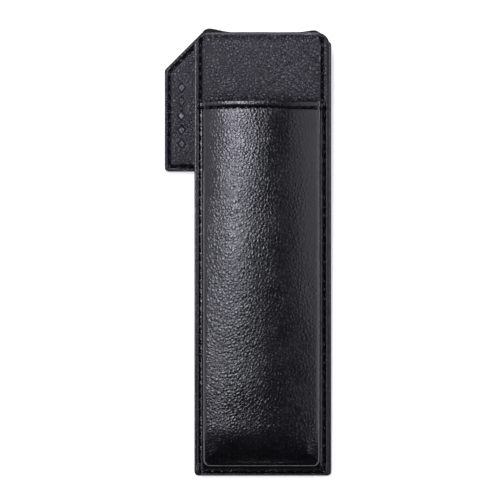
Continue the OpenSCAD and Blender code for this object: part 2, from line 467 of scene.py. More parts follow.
class Sheet:
    """A node tree that nodes are placed in and joined up."""

    def __init__(self, tree: bpy.types.NodeTree) -> None:
        """Keeps the tree."""
        self.tree = tree

    def add(self, kind: str, inputs: dict | None = None, **settings: object) -> bpy.types.Node:
        """Places a node.

        Args:
            kind: The node's type.
            inputs: A value or a socket for each named or numbered input.
            settings: Values of its properties.

        Returns:
            The node.
        """
        node = self.tree.nodes.new(kind)
        for name, value in settings.items():
            setattr(node, name, value)
        for key, value in (inputs or {}).items():
            if isinstance(value, bpy.types.NodeSocket):
                self.tree.links.new(value, node.inputs[key])
            else:
                node.inputs[key].default_value = value
        return node

    def math(self, operation: str, *values: object) -> bpy.types.NodeSocket:
        """A Math node's result.

        Args:
            operation: Its operation.
            values: Numbers or sockets.

        Returns:
            Its output.
        """
        return self.add("ShaderNodeMath", dict(enumerate(values)), operation=operation).outputs[0]

    def spread(
        self, value: object, low: float, high: float, to: tuple[float, float] = (0.0, 1.0)
    ) -> bpy.types.NodeSocket:
        """Maps a range of values smoothly onto another one.

        Args:
            value: The socket that is mapped.
            low: Value that gives the first result.
            high: Value that gives the second result.
            to: The two results.

        Returns:
            The mapped output.
        """
        inputs = {"Value": value, "From Min": low, "From Max": high, "To Min": to[0], "To Max": to[1]}
        node = self.add("ShaderNodeMapRange", inputs, interpolation_type="SMOOTHSTEP", clamp=True)
        return node.outputs["Result"]

    def mix(self, share: object, first: object, second: object) -> bpy.types.NodeSocket:
        """A colour between two others.

        Args:
            share: 0 gives the first one, 1 the second one.
            first: A colour or a socket.
            second: A colour or a socket.

        Returns:
            The mixed colour.
        """
        node = self.add("ShaderNodeMix", {0: share, 6: first, 7: second}, data_type="RGBA")
        return node.outputs[2]

    def link(self, *pairs: tuple[bpy.types.NodeSocket, bpy.types.NodeSocket]) -> None:
        """Joins outputs to inputs."""
        for source, target in pairs:
            self.tree.links.new(source, target)


def node_group(
    name: str, inputs: dict[str, float], outputs: Sequence[str]
) -> tuple[bpy.types.NodeTree, Sheet, bpy.types.Node, bpy.types.Node]:
    """Starts a shader node group with plain number sockets.

    Args:
        name: The group's name.
        inputs: Its inputs and their usual values.
        outputs: Its outputs.

    Returns:
        The group's tree, its sheet, its input node and its output node.
    """
    tree = bpy.data.node_groups.new(name, "ShaderNodeTree")
    for key, value in inputs.items():
        socket = tree.interface.new_socket(name=key, in_out="INPUT", socket_type="NodeSocketFloat")
        socket.default_value = value
    for key in outputs:
        tree.interface.new_socket(name=key, in_out="OUTPUT", socket_type="NodeSocketFloat")
    sheet = Sheet(tree)
    return tree, sheet, sheet.add("NodeGroupInput"), sheet.add("NodeGroupOutput")


def build_pebble_grain() -> bpy.types.NodeTree:
    """Small rounded pebbles with creases between them, as on shrunken leather.

    Returns:
        The group: Size, Unevenness -> Height, Crease.
    """
    usual = {"Size": 0.8 * MM, "Unevenness": 0.35}
    tree, sheet, given, result = node_group("pebble_grain", usual, ("Height", "Crease"))
    place = sheet.add("ShaderNodeTexCoord").outputs["Object"]
    density = sheet.math("DIVIDE", 1.0, given.outputs["Size"])
    scaled = sheet.add("ShaderNodeVectorMath", {0: place, "Scale": density}, operation="SCALE").outputs[0]
    waver = sheet.add("ShaderNodeTexNoise", {"Vector": scaled, "Scale": 0.7, "Detail": 2.0}).outputs["Color"]
    centred = sheet.add("ShaderNodeVectorMath", {0: waver, 1: (0.5, 0.5, 0.5)}, operation="SUBTRACT")
    pushed = sheet.add(
        "ShaderNodeVectorMath",
        {0: centred.outputs[0], "Scale": given.outputs["Unevenness"]},
        operation="SCALE",
    )
    bent = sheet.add("ShaderNodeVectorMath", {0: scaled, 1: pushed.outputs[0]}, operation="ADD").outputs[0]
    heights = []
    for scale in (1.0, 2.3):
        inputs = {"Vector": bent, "Scale": scale}
        cells = sheet.add("ShaderNodeTexVoronoi", inputs, feature="DISTANCE_TO_EDGE")
        heights.append(sheet.spread(cells.outputs["Distance"], -0.08, 0.42))
    dust = sheet.add("ShaderNodeTexNoise", {"Vector": bent, "Scale": 4.0, "Detail": 1.0}).outputs["Fac"]
    low = sheet.math("MULTIPLY", heights[0], 0.78)
    high = sheet.math("MULTIPLY_ADD", heights[1], 0.12, low)
    total = sheet.math("MULTIPLY_ADD", dust, 0.05, high)
    sheet.tree.links.new(total, result.inputs["Height"])
    sheet.tree.links.new(sheet.math("SUBTRACT", 1.0, heights[0]), result.inputs["Crease"])
    return tree


def build_tone_drift() -> bpy.types.NodeTree:
    """Slow changes of tone and shine over a hide.

    Returns:
        The group: Size -> Tone, Shine.
    """
    tree, sheet, given, result = node_group("tone_drift", {"Size": 18 * MM}, ("Tone", "Shine"))
    place = sheet.add("ShaderNodeTexCoord").outputs["Object"]
    density = sheet.math("DIVIDE", 1.0, given.outputs["Size"])
    for key, factor, offset in (("Tone", 1.0, 0.0), ("Shine", 1.9, 7.0)):
        scale = sheet.math("MULTIPLY", density, factor)
        inputs = {"Vector": place, "Scale": scale, "W": offset, "Detail": 3.0, "Roughness": 0.55}
        cloud = sheet.add("ShaderNodeTexNoise", inputs, noise_dimensions="4D").outputs["Fac"]
        sheet.tree.links.new(sheet.spread(cloud, 0.3, 0.7), result.inputs[key])
    return tree


def build_edge_wear_and_highlight() -> bpy.types.NodeTree:
    """Where an edge stands proud: partly real rubbing, partly a painted highlight along the rims.

    Returns:
        The group: Amount -> Mask.
    """
    tree, sheet, given, result = node_group("edge_wear_and_highlight", {"Amount": 0.5}, ("Mask",))
    # Proud, convex edges get the mask: partly real rubbing, partly a painted highlight along the rims.
    proud = sheet.spread(sheet.add("ShaderNodeNewGeometry").outputs["Pointiness"], 0.515, 0.60)
    place = sheet.add("ShaderNodeTexCoord").outputs["Object"]
    patches = sheet.add("ShaderNodeTexNoise", {"Vector": place, "Scale": 420.0, "Detail": 4.0}).outputs["Fac"]
    broken = sheet.math("MULTIPLY", proud, sheet.spread(patches, 0.35, 0.7, (0.35, 1.0)))
    sheet.tree.links.new(sheet.math("MULTIPLY", broken, given.outputs["Amount"]), result.inputs["Mask"])
    return tree


def build_thread_twist() -> bpy.types.NodeTree:
    """The slanting plies of a twisted thread, along the piece's own UV map.

    Returns:
        The group: Plies -> Height.
    """
    tree, sheet, given, result = node_group("thread_twist", {"Plies": 5.0}, ("Height",))
    place = sheet.add("ShaderNodeTexCoord").outputs["UV"]
    parts = sheet.add("ShaderNodeSeparateXYZ", {0: place})
    turn = sheet.math("MULTIPLY_ADD", parts.outputs["Y"], given.outputs["Plies"], parts.outputs["X"])
    wave = sheet.math("SINE", sheet.math("MULTIPLY", turn, 4 * math.pi))
    sheet.tree.links.new(sheet.math("MULTIPLY_ADD", wave, 0.5, 0.5), result.inputs["Height"])
    return tree


def build_cloth_weave() -> bpy.types.NodeTree:
    """A plain weave across X and Y.

    Returns:
        The group: Pitch -> Height.
    """
    tree, sheet, given, result = node_group("cloth_weave", {"Pitch": 0.45 * MM}, ("Height",))
    place = sheet.add("ShaderNodeTexCoord").outputs["Object"]
    parts = sheet.add("ShaderNodeSeparateXYZ", {0: place})
    turn = sheet.math("DIVIDE", 2 * math.pi, given.outputs["Pitch"])
    across = sheet.math("SINE", sheet.math("MULTIPLY", parts.outputs["X"], turn))
    along = sheet.math("SINE", sheet.math("MULTIPLY", parts.outputs["Y"], turn))
    woven = sheet.math("MULTIPLY", across, along)
    sheet.tree.links.new(sheet.math("MULTIPLY_ADD", woven, 0.5, 0.5), result.inputs["Height"])
    return tree


class Groups:
    """The shared node groups, each built once."""

    def __init__(self) -> None:
        """Builds them all."""
        self.trees = {
            tree.name: tree
            for tree in (
                build_pebble_grain(),
                build_tone_drift(),
                build_edge_wear_and_highlight(),
                build_thread_twist(),
                build_cloth_weave(),
            )
        }

    def place(self, sheet: Sheet, name: str, **values: float) -> bpy.types.Node:
        """Puts a group into a material.

        Args:
            sheet: The material's sheet.
            name: The group's name.
            values: Values of its inputs.

        Returns:
            The group node.
        """
        node = sheet.add("ShaderNodeGroup", node_tree=self.trees[name])
        for key, value in values.items():
            node.inputs[key].default_value = value
        return node


def start_material(name: str) -> tuple[bpy.types.Material, Sheet, bpy.types.Node]:
    """A new material with one Principled shader.

    Args:
        name: The material's name.

    Returns:
        The material, its sheet and its shader.
    """
    material = bpy.data.materials.new(name)
    material.use_nodes = True
    return material, Sheet(material.node_tree), material.node_tree.nodes["Principled BSDF"]


@dataclass(frozen=True)
class LeatherFinish:
    """Dyed leather: tone, shine, grain with painted shade in its creases, and edges lightened partly by real
    rubbing and partly as a painted highlight.
    """

    name: str
    slot: Slot
    tone: tuple[float, float, float]
    worn_and_lit_tone: tuple[float, float, float]
    roughness: tuple[float, float]
    grain_size: float
    grain_depth: float
    wear_and_highlight: float = 0.5
    gleam: float = 0.5

    def build(self, groups: Groups) -> bpy.types.Material:
        """Makes the material.

        Args:
            groups: The shared node groups.

        Returns:
            The material.
        """
        material, sheet, shader = start_material(self.name)
        grain = groups.place(sheet, "pebble_grain", Size=self.grain_size)
        pores = groups.place(sheet, "pebble_grain", Size=self.grain_size * 0.4, Unevenness=0.8)
        tone = groups.place(sheet, "tone_drift", Size=16 * MM)
        wear_and_highlight = groups.place(sheet, "edge_wear_and_highlight", Amount=self.wear_and_highlight)
        # Painted shade: the creases between the pebbles are darkened to 15 % of the tone.
        hollow_shade = (*(0.15 * c for c in self.tone), 1)
        varied = sheet.mix(tone.outputs["Tone"], (*self.tone, 1), (*(1.3 * c for c in self.tone), 1))
        crease_shaded = sheet.mix(sheet.spread(grain.outputs["Crease"], 0.1, 0.8), varied, hollow_shade)
        # Proud edges take the lighter worn tone, partly as real rubbing and partly as a painted highlight
        # along the rims.
        rubbed_and_lit = sheet.mix(wear_and_highlight.outputs["Mask"], crease_shaded, (*self.worn_and_lit_tone, 1))
        shine = sheet.spread(tone.outputs["Shine"], 0.0, 1.0, self.roughness)
        rough = sheet.math("MULTIPLY_ADD", grain.outputs["Crease"], 0.06, shine)
        fine = {"Height": pores.outputs["Height"], "Strength": 0.5, "Distance": self.grain_depth * 0.2}
        under = sheet.add("ShaderNodeBump", fine)
        coarse = {
            "Height": grain.outputs["Height"],
            "Strength": 1.0,
            "Distance": self.grain_depth,
            "Normal": under.outputs["Normal"],
        }
        bump = sheet.add("ShaderNodeBump", coarse)
        sheet.link(
            (rubbed_and_lit, shader.inputs["Base Color"]),
            (rough, shader.inputs["Roughness"]),
            (bump.outputs["Normal"], shader.inputs["Normal"]),
        )
        shader.inputs["Specular IOR Level"].default_value = self.gleam
        return material


@dataclass(frozen=True)
class PatternFinish:
    """Twisted thread, woven lining or felted foam: one group's pattern, with painted shade in its low parts.
    """

    name: str
    slot: Slot
    tone: tuple[float, float, float]
    pattern: str
    setting: tuple[str, float]
    groove_shade_share: float
    depth: float
    constants: tuple[tuple[str, float], ...]

    def build(self, groups: Groups) -> bpy.types.Material:
        """Makes the material.

        Args:
            groups: The shared node groups.

        Returns:
            The material.
        """
        material, sheet, shader = start_material(self.name)
        height = groups.place(sheet, self.pattern, **dict([self.setting])).outputs["Height"]
        # Painted shade: the pattern's low parts are darkened.
        hollow_shade = (*(self.groove_shade_share * c for c in self.tone), 1)
        bump = sheet.add("ShaderNodeBump", {"Height": height, "Distance": self.depth})
        sheet.link(
            (sheet.mix(height, hollow_shade, (*self.tone, 1)), shader.inputs["Base Color"]),
            (bump.outputs["Normal"], shader.inputs["Normal"]),
        )
        for name, value in self.constants:
            shader.inputs[name].default_value = value
        return material


@dataclass(frozen=True)
class PlainFinish:
    """Board, steel or plating, with a slight unevenness."""

    name: str
    slot: Slot
    tone: tuple[float, float, float]
    roughness: tuple[float, float]
    metallic: float = 0.0

    def build(self, groups: Groups) -> bpy.types.Material:
        """Makes the material.

        Args:
            groups: The shared node groups.

        Returns:
            The material.
        """
        material, sheet, shader = start_material(self.name)
        drift_node = groups.place(sheet, "tone_drift", Size=6 * MM)
        darker = (*(0.8 * c for c in self.tone), 1)
        rough = sheet.spread(drift_node.outputs["Shine"], 0.0, 1.0, self.roughness)
        sheet.link(
            (sheet.mix(drift_node.outputs["Tone"], darker, (*self.tone, 1)), shader.inputs["Base Color"]),
            (rough, shader.inputs["Roughness"]),
        )
        shader.inputs["Metallic"].default_value = self.metallic
        return material


SMOOTH_LEATHER = LeatherFinish(
    "smooth_black_leather", Slot.SMOOTH, (0.0045, 0.0042, 0.0060), (0.025, 0.024, 0.030),
    roughness=(0.13, 0.18), grain_size=1.2 * MM, grain_depth=0.046 * MM, wear_and_highlight=0.4,
)
# The back's proud rims take a much lighter tone: partly rubbing, partly a painted highlight.
RUBBED_AND_RIM_LIT_LEATHER = LeatherFinish(
    "rubbed_and_rim_lit_black_leather", Slot.SMOOTH, (0.0045, 0.0042, 0.0060), (0.30, 0.29, 0.33),
    roughness=(0.13, 0.20), grain_size=1.2 * MM, grain_depth=0.030 * MM, wear_and_highlight=0.9,
)
# A darker, duller copy of the smooth leather for the fold: its darker tone is painted shade, as the fold
# faces away from the lamps.
SHADED_FOLD_LEATHER = LeatherFinish(
    "fold_leather_painted_shade", Slot.SMOOTH, (0.0040, 0.0038, 0.0052), (0.020, 0.019, 0.024),
    roughness=(0.36, 0.46), grain_size=1.2 * MM, grain_depth=0.060 * MM, wear_and_highlight=0.3, gleam=0.12,
)
# Its light edge tone is partly rubbing, partly a painted highlight on the proud rims.
GRAINED_LEATHER = LeatherFinish(
    "grained_black_leather", Slot.GRAINED, (0.034, 0.033, 0.042), (0.30, 0.29, 0.33),
    roughness=(0.19, 0.25), grain_size=1.2 * MM, grain_depth=0.15 * MM, wear_and_highlight=0.8, gleam=0.27,
)
WAXED = (("Roughness", 0.8), ("Specular IOR Level", 0.06))
WOVEN = (("Roughness", 0.85), ("Sheen Weight", 0.2))
THREAD = PatternFinish(
    "waxed_thread", Slot.THREAD, (0.005, 0.005, 0.0065),
    "thread_twist", ("Plies", 3.0), groove_shade_share=0.4, depth=0.08 * MM, constants=WAXED,
)
LINING = PatternFinish(
    "lining_cloth", Slot.LINING, (0.035, 0.035, 0.04),
    "cloth_weave", ("Pitch", 0.45 * MM), groove_shade_share=0.45, depth=0.1 * MM, constants=WOVEN,
)
FOAM = PatternFinish(
    "foam_felt", Slot.FOAM, (0.08, 0.08, 0.09),
    "cloth_weave", ("Pitch", 1.1 * MM), groove_shade_share=0.45, depth=0.1 * MM, constants=WOVEN,
)
BOARD = PlainFinish("stiffening_board", Slot.BOARD, (0.09, 0.085, 0.08), (0.5, 0.65))
STEEL = PlainFinish("plain_steel", Slot.STEEL, (0.5, 0.5, 0.52), (0.3, 0.45), metallic=1.0)
NICKEL = PlainFinish("nickel_plate", Slot.MAGNET, (0.62, 0.61, 0.6), (0.15, 0.28), metallic=1.0)


Finish = LeatherFinish | PatternFinish | PlainFinish


class Wardrobe:
    """Builds each finish once and dresses pieces in it."""

    def __init__(self) -> None:
        """Starts with the shared groups and no material."""
        self.groups = Groups()
        self.made: dict[str, bpy.types.Material] = {}

    def dress(self, piece: bpy.types.Object, finish: Finish) -> None:
        """Gives a piece its only material.

        Args:
            piece: The object.
            finish: The finish it gets.
        """
        if finish.name not in self.made:
            self.made[finish.name] = finish.build(self.groups)
        piece.data.materials.clear()
        piece.data.materials.append(self.made[finish.name])

    def hand_over(
        self, piece: bpy.types.Object, finish: Finish, body: Body, stands_for: Sequence[str] = ()
    ) -> bpy.types.Object:
        """Dresses a new piece, hangs it on its body and hides the CAD nodes it stands for.

        Args:
            piece: The object.
            finish: Its finish.
            body: The body it rides on.
            stands_for: The CAD nodes it replaces.

        Returns:
            The same object.
        """
        self.dress(piece, finish)
        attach(piece, body.value)
        if stands_for:
            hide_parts(*stands_for)
        log.info("%s: %d faces on %s", piece.name, len(piece.data.polygons), body.value)
        return piece


# ---- Seams ----


@dataclass(frozen=True)
class Seam:
    """A row of separate stitches along a path."""

    pitch: float = 3.4 * MM
    cover: float = 0.80
    width: float = 0.55 * MM
    height: float = 0.40 * MM
    slant: float = math.radians(5)

    def one_stitch(self) -> bpy.types.Object:
        """One stitch along X whose ends dip into the leather.

        Returns:
            The stitch, round the origin.
        """
        add_ball = bpy.ops.mesh.primitive_uv_sphere_add
        stitch = start_piece("stitch", add_ball, segments=8, ring_count=8, radius=1.0)
        half = self.pitch * self.cover / 2
        with Bench(stitch) as bench:
            bpy.ops.mesh.select_all(action="SELECT")
            bpy.ops.transform.rotate(value=math.pi / 2, orient_axis="Y", center_override=(0, 0, 0))
            bench.shape(lambda p: self.as_thread(p, half))
            bench.turn_out()
        bpy.ops.object.shade_smooth()
        return stitch

    def as_thread(self, spot: Vector, half: float) -> Vector:
        """Turns a unit ball's corner into a stitch's corner.

        Args:
            spot: A corner's place.
            half: Half the stitch's length.

        Returns:
            Its place on the stitch.
        """
        fullness = (1 - min(abs(spot.x), 1.0) ** 4) ** 0.5
        ring = math.hypot(spot.y, spot.z) or 1.0
        x = math.copysign(abs(spot.x) ** 0.75, spot.x)
        y = spot.y / ring * fullness * self.width / 2 if ring > 1e-6 else 0.0
        z = spot.z / ring * fullness * self.height / 2 if ring > 1e-6 else 0.0
        return Vector((x * half, y, z - 0.30 * MM * abs(x) ** 3))

    def places(self, path: Sequence[Vector], closed: bool) -> list[tuple[Vector, Vector]]:
        """Where the stitches lie.

        Args:
            path: The seam's line.
            closed: Whether its end joins its start.

        Returns:
            The middle and the direction of each stitch.
        """
        line = list(path) + ([path[0]] if closed else [])
        lengths = [(b - a).length for a, b in zip(line, line[1:])]
        count = max(round(sum(lengths) / self.pitch), 1)
        found, walked, side = [], 0.0, 0
        for k in range(count):
            target = (k + 0.5) * sum(lengths) / count
            while side < len(lengths) - 1 and walked + lengths[side] < target:
                walked += lengths[side]
                side += 1
            along = (line[side + 1] - line[side]).normalized()
            found.append((line[side] + along * (target - walked), along))
        return found

    def sew(self, name: str, places: Sequence[tuple[Vector, Vector]], up: Vector) -> bpy.types.Object:
        """Copies one stitch to every place and joins the copies.

        Args:
            name: The seam's name.
            places: Middle and direction of each stitch.
            up: The direction the leather faces.

        Returns:
            The seam.
        """
        first = self.one_stitch()
        copies = []
        for middle, along in places:
            side = up.cross(along).normalized()
            turned = (along * math.cos(self.slant) + side * math.sin(self.slant)).normalized()
            above = turned.cross(up.cross(turned)).normalized()
            matrix = Matrix((turned, above.cross(turned), above)).transposed().to_4x4()
            matrix.translation = middle
            copy = first.copy()
            copy.data = first.data.copy()
            copy.data.transform(matrix)
            bpy.context.scene.collection.objects.link(copy)
            copies.append(copy)
        bpy.data.objects.remove(first)
        return join(copies, name)


# ---- The places that the pieces share ----


@dataclass(frozen=True)
class Layout:
    """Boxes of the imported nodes, and the places worked out from them."""

    case: tuple[Vector, Vector]
    back: tuple[Vector, Vector]
    pocket: tuple[Vector, Vector]
    panel: tuple[Vector, Vector]
    flap: tuple[Vector, Vector]
    strap: tuple[Vector, Vector]
    pocket_shift: float = 0.5 * MM
    rim_left: float = 0.3 * MM
    rim_right: float = 0.7 * MM
    shoulder: float = 4.3 * MM
    corner_cut: float = 4.4 * MM
    tab_cut: float = 13.8 * MM

    @classmethod
    def of_frame(cls) -> "Layout":
        """Reads the boxes from the frame."""
        names = ("back_cover", "pocket_front", "upper_panel", "flap_inner_leather", "fold_strap")
        return cls((Vector(CAD_BOX[0]), Vector(CAD_BOX[1])), *(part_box(name) for name in names))

    @property
    def mouth(self) -> float:
        """Height of the pocket's mouth along Y."""
        return self.pocket[1].y

    @property
    def pocket_middle(self) -> float:
        """The pocket's centre line along X."""
        return (self.back[0].x + self.back[1].x) / 2 - self.pocket_shift

    @property
    def front_left(self) -> float:
        """Left edge of the front layer, inside the back's rim."""
        return self.pocket[0].x + self.rim_left

    @property
    def front_right(self) -> float:
        """Right edge of the front layer, inside the back's rim."""
        return self.pocket[1].x - self.rim_right

    @property
    def front_outline(self) -> Outline:
        """Outline of the front layer: flange and upper panel."""
        low = Vector((self.front_left, self.pocket[0].y))
        high = Vector((self.front_right, self.panel[1].y))
        return rectangle(low, high, (1.4 * MM, 1.4 * MM, self.shoulder, self.shoulder))

    @property
    def back_outline(self) -> Outline:
        """Outline of the back layer, with a cut across both upper corners."""
        low, high, cut = *self.back, self.corner_cut
        return Outline((
            Corner(low.x, low.y, 1.6 * MM),
            Corner(high.x, low.y, 1.6 * MM),
            Corner(high.x, high.y - cut, 1.2 * MM),
            Corner(high.x - cut, high.y, 1.0 * MM),
            Corner(low.x + cut, high.y, 1.0 * MM),
            Corner(low.x, high.y - cut, 1.2 * MM),
        ))

    @property
    def flap_outline(self) -> Outline:
        """Outline of the flap, with the long cut above its grip tab."""
        low, high, cut, tab_cut = *self.flap, self.corner_cut, self.tab_cut
        return Outline((
            Corner(low.x, low.y, 1.4 * MM),
            Corner(high.x, low.y, 1.4 * MM),
            Corner(high.x, high.y - cut, 1.2 * MM),
            Corner(high.x - cut, high.y, 1.0 * MM),
            Corner(low.x + tab_cut, high.y, 1.0 * MM),
            Corner(low.x, high.y - tab_cut, 1.4 * MM),
        ))


# ---- Moulded pocket ----


@dataclass
class MouldedPocket:
    """The wet-moulded front: stitched flange, steep walls, crowned top and a sagging toe."""

    layout: Layout
    foot_left: float = 2.3 * MM
    foot_right: float = 3.45 * MM
    foot_low: float = 3.45 * MM
    draft_left: float = 0.5 * MM
    draft_right: float = 0.5 * MM
    draft_low: float = 0.35 * MM
    edge_radius: float = 1.15 * MM
    edge_angle: float = math.radians(76)
    corner: float = 1.5 * MM
    crown_mouth: float = 2.4 * MM
    crown_toe: float = 1.0 * MM
    sag: float = 2.6 * MM
    sag_length: float = 7.5 * MM
    leather: float = 1.15 * MM
    flange_top: float = 6.5 * MM
    groove_inset: float = 1.05 * MM
    groove_depth: float = 0.7 * MM
    hem_seam: float = 2.55 * MM
    band_height: float = 0.16 * MM
    seam_depth: float = 0.36 * MM
    seam_spread: float = 0.24 * MM
    after_height: float = 0.08 * MM
    foot_drop: float = 0.66 * MM
    past_mouth: float = 9 * MM
    toe_zone: float = 11 * MM
    grid_half: float = 17 * MM
    grid: float = 3.2 * MM

    @property
    def top(self) -> float:
        """Height of the crown at the mouth."""
        return self.layout.case[1].z

    @property
    def edge_top(self) -> float:
        """Height of the crown's long edges."""
        return self.top - self.crown_mouth

    @property
    def rounding(self) -> float:
        """How far the long edge's rounding reaches inwards, seen from above."""
        return self.edge_radius * (1 - math.cos(self.edge_angle))

    def side(self, share: float, extra: float) -> tuple[float, float, float]:
        """The pocket's left, right and lower sides at one level.

        Args:
            share: 0 at the wall's foot, 1 where the wall ends.
            extra: Further distance inwards.

        Returns:
            Their places along X, X and Y.
        """
        low, high = self.layout.pocket
        return (
            low.x + self.foot_left + self.draft_left * share + extra,
            high.x - self.foot_right - self.draft_right * share - extra,
            low.y + self.foot_low + self.draft_low * share + extra,
        )

    def ring(self, share: float, extra: float, height: float) -> list[Vector]:
        """One ring round the pocket.

        Args:
            share: 0 at the wall's foot, 1 where the wall ends.
            extra: Further distance inwards.
            height: The ring's height.

        Returns:
            The ring's points.
        """
        left, right, low = self.side(share, extra)
        radius = max(self.corner + 0.5 * share * MM - 0.3 * extra, 0.5 * MM)
        top = Vector((right, self.layout.mouth + self.past_mouth - extra))
        return rectangle(Vector((left, low)), top, (radius, radius, MM, MM)).points(0, height)

    def rings(self, inside: float) -> list[list[Vector]]:
        """Rings from the wall's foot to well inside the crown.

        Args:
            inside: How far the skin lies inside the outer one.

        Returns:
            The rings.
        """
        foot = self.flange_top - self.foot_drop
        shoulder = self.edge_top - self.edge_radius * math.sin(self.edge_angle)
        rings = []
        for share in (0.0, 0.12, 0.5, 1.0):
            rings.append(self.ring(share, inside, foot + (shoulder - foot) * share))
        for step in range(1, 5):
            angle = self.edge_angle * step / 4
            extra = inside + self.edge_radius * (1 - math.cos(angle))
            rings.append(self.ring(1.0, extra, shoulder + self.edge_radius * math.sin(angle)))
        for further in (0.8 * MM, 2.0 * MM, 3.8 * MM):
            rings.append(self.ring(1.0, inside + self.rounding + further, self.edge_top))
        return rings

    def across(self, x: float, inside: float) -> float:
        """Place across the crown: 0 in its middle and 1 at its edges."""
        left, right, _ = self.side(1.0, inside + self.rounding)
        return abs(2 * x - left - right) / (right - left)

    def crown_height(self, spot: Vector, inside: float) -> float:
        """Height of the crowned top at a place, before the toe sags.

        Args:
            spot: A corner's place.
            inside: How far the skin lies inside the outer one.

        Returns:
            The height.
        """
        across = min(self.across(spot.x, inside), 1.0)
        low = self.side(1.0, inside + self.rounding)[2]
        along = ease(low, self.layout.mouth, spot.y)
        crown = self.crown_toe + (self.crown_mouth - self.crown_toe) * along
        lift = 1 - (1 - min(max((spot.y - low) / self.sag_length, 0.0), 1.0)) ** 2
        uneven = 0.13 * MM * drift(spot, 17 * MM) + 0.05 * MM * drift(spot, 6 * MM, 3.0)
        calm = ease(0, 0.25, 1 - across) * ease(low + MM, low + 9 * MM, spot.y)
        return self.edge_top - inside + crown * lift * (1 - across ** 2.2) + uneven * calm

    def sagged(self, spot: Vector, inside: float) -> float:
        """Height of a corner of the pocket once its toe has sagged.

        Args:
            spot: A corner's place.
            inside: How far the skin lies inside the outer one.

        Returns:
            The height.
        """
        low = self.side(1.0, inside + self.rounding)[2]
        share = min(max((spot.y - low) / self.sag_length, 0.0), 1.0)
        rise = (spot.z - self.flange_top) / (self.edge_top - self.flange_top)
        return spot.z - self.sag * (1 - share) ** 2 * max(rise, 0.0)

    def settle(self, spot: Vector, inside: float) -> Vector:
        """Puts a corner of the top on the crown, and lets walls and flange wander a little.

        Args:
            spot: A corner's place.
            inside: How far the skin lies inside the outer one.

        Returns:
            Its new place.
        """
        low = self.side(1.0, inside + self.rounding)[2]
        if self.across(spot.x, inside) < 0.999 and spot.y > low and spot.z > self.edge_top - MM:
            spot.z = self.crown_height(spot, inside)
        if spot.z < self.flange_top + 0.3 * MM:
            spot.z += 0.06 * MM * drift(spot, 9 * MM, 5.0)
        else:
            away = 1.0 if spot.x > self.layout.pocket_middle else -1.0
            spot.x += away * 0.08 * MM * drift(spot, 15 * MM, 8.0) * self.across(spot.x, inside) ** 4
            spot.z = self.sagged(spot, inside)
        return spot

    def hem_offset(self, spot: Vector) -> float:
        """How far the turned hem and its seam move the skin outwards.

        Args:
            spot: A corner's place.

        Returns:
            The distance, below 0 if inwards.
        """
        below = self.layout.mouth - spot.y
        band = self.band_height * ease(0, 0.7 * MM, below) * (1 - ease(1.2 * MM, 2.2 * MM, below))
        seam = self.seam_depth * math.exp(-(((below - self.hem_seam) / self.seam_spread) ** 2))
        after = self.after_height * math.exp(-(((below - 3.9 * MM) / (0.8 * MM)) ** 2))
        return band - seam + after

    def shape_hem(self, bench: Bench) -> None:
        """Raises the hem's band and presses its seam in, along the skin's normals.

        Args:
            bench: The mesh, open in edit mode.
        """
        mesh = bmesh.from_edit_mesh(bench.piece.data)
        mesh.normal_update()
        moves = {corner: corner.normal * self.hem_offset(corner.co) for corner in mesh.verts}
        outer_left, outer_right = (box.x for box in self.layout.pocket)
        for corner, move in moves.items():
            inner = min(corner.co.x - outer_left, outer_right - corner.co.x)
            corner.co += Vector((move.x * ease(0.5 * MM, 2 * MM, inner), 0, move.z))
        bmesh.update_edit_mesh(bench.piece.data)

    def slices(self, bench: Bench) -> None:
        """Lays the grid that the crown and the hem need.

        Args:
            bench: The mesh, open in edit mode.
        """
        mouth, middle = self.layout.mouth, self.layout.pocket_middle
        sides = middle - self.grid_half, middle + self.grid_half
        bench.slice(ACROSS, steps_between(*sides, self.grid))
        low = self.layout.pocket[0].y + self.toe_zone
        bench.slice(ALONG, steps_between(low, mouth - 5 * MM, self.grid * 1.3))
        hem = (0.25, 0.7, 1.3, 1.9, 2.2, 2.55, 2.9, 3.4, 4.2)
        bench.slice(ALONG, [mouth - step * MM for step in hem])

    def build_front(self) -> bpy.types.Object:
        """Models the pocket's leather with its flange.

        Returns:
            The leather.
        """
        top = self.flange_top / MM
        steps = (
            (0.0, top - 0.6), (0.03, top - 0.2), (0.14, top - 0.04), (0.5, top + 0.01),
            (0.66, top - 0.12), (0.8, top - 0.5), (1.0, top - 0.70), (1.3, top - 0.70), (1.6, top - 0.68),
        )
        flange = [self.layout.front_outline.points(inset * MM, height * MM) for inset, height in steps]
        skin = ring_skin("pocket_leather", flange + self.rings(0.0))
        with Bench(skin) as bench:
            self.slices(bench)
            bench.cut_off(Vector((0, self.layout.mouth, 0)), ALONG)
            bench.shape(lambda p: self.settle(p, 0.0))
            bench.turn(up=True)
            self.shape_hem(bench)
        thicken(skin, self.leather)
        smooth(skin, 2)
        return skin

    def build_inner(
        self, name: str, inside: float, thickness: float, ends: tuple[float, float]
    ) -> bpy.types.Object:
        """Models a layer inside the pocket.

        Args:
            name: The layer's name.
            inside: How far its outer face lies inside the pocket's.
            thickness: How thick it is.
            ends: How far below the mouth it starts and ends.

        Returns:
            The layer.
        """
        skin = ring_skin(name, self.rings(inside))
        with Bench(skin) as bench:
            self.slices(bench)
            bench.cut_off(Vector((0, self.layout.mouth - ends[0], 0)), ALONG)
            bench.cut_off(Vector((0, self.layout.mouth - ends[1], 0)), -ALONG)
            bench.shape(lambda p: self.settle(p, inside))
            bench.turn(up=True)
        thicken(skin, thickness)
        smooth(skin, 1)
        return skin

